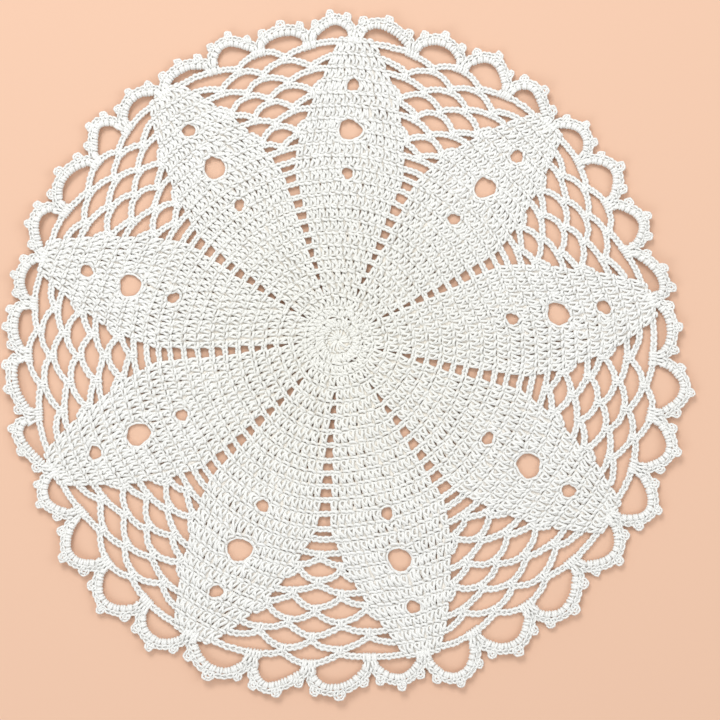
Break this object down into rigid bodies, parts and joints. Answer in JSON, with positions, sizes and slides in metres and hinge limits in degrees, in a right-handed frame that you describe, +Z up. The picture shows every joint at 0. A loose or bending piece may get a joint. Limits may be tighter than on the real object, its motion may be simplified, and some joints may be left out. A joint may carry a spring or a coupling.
{
  "type": "lace doily",
  "caption": "Round crocheted lace doily lying flat: solid leaves from a drawn-up ring, chain-loop net between them, scalloped edge with picots.",
  "frame": {"origin": "middle of the starting ring, on the underside, where it rests on a table", "axes": "+Z up through the fabric; X and Y in the plane of the table, with the deepest scallops towards -Y"},
  "size_m": [0.4577, 0.454, 0.0032],
  "materials": {
    "cotton": "ivory crochet cotton, matt"
  },
  "bodies": {
    "root": {"doily": "cotton"}
  },
  "joints": []
}
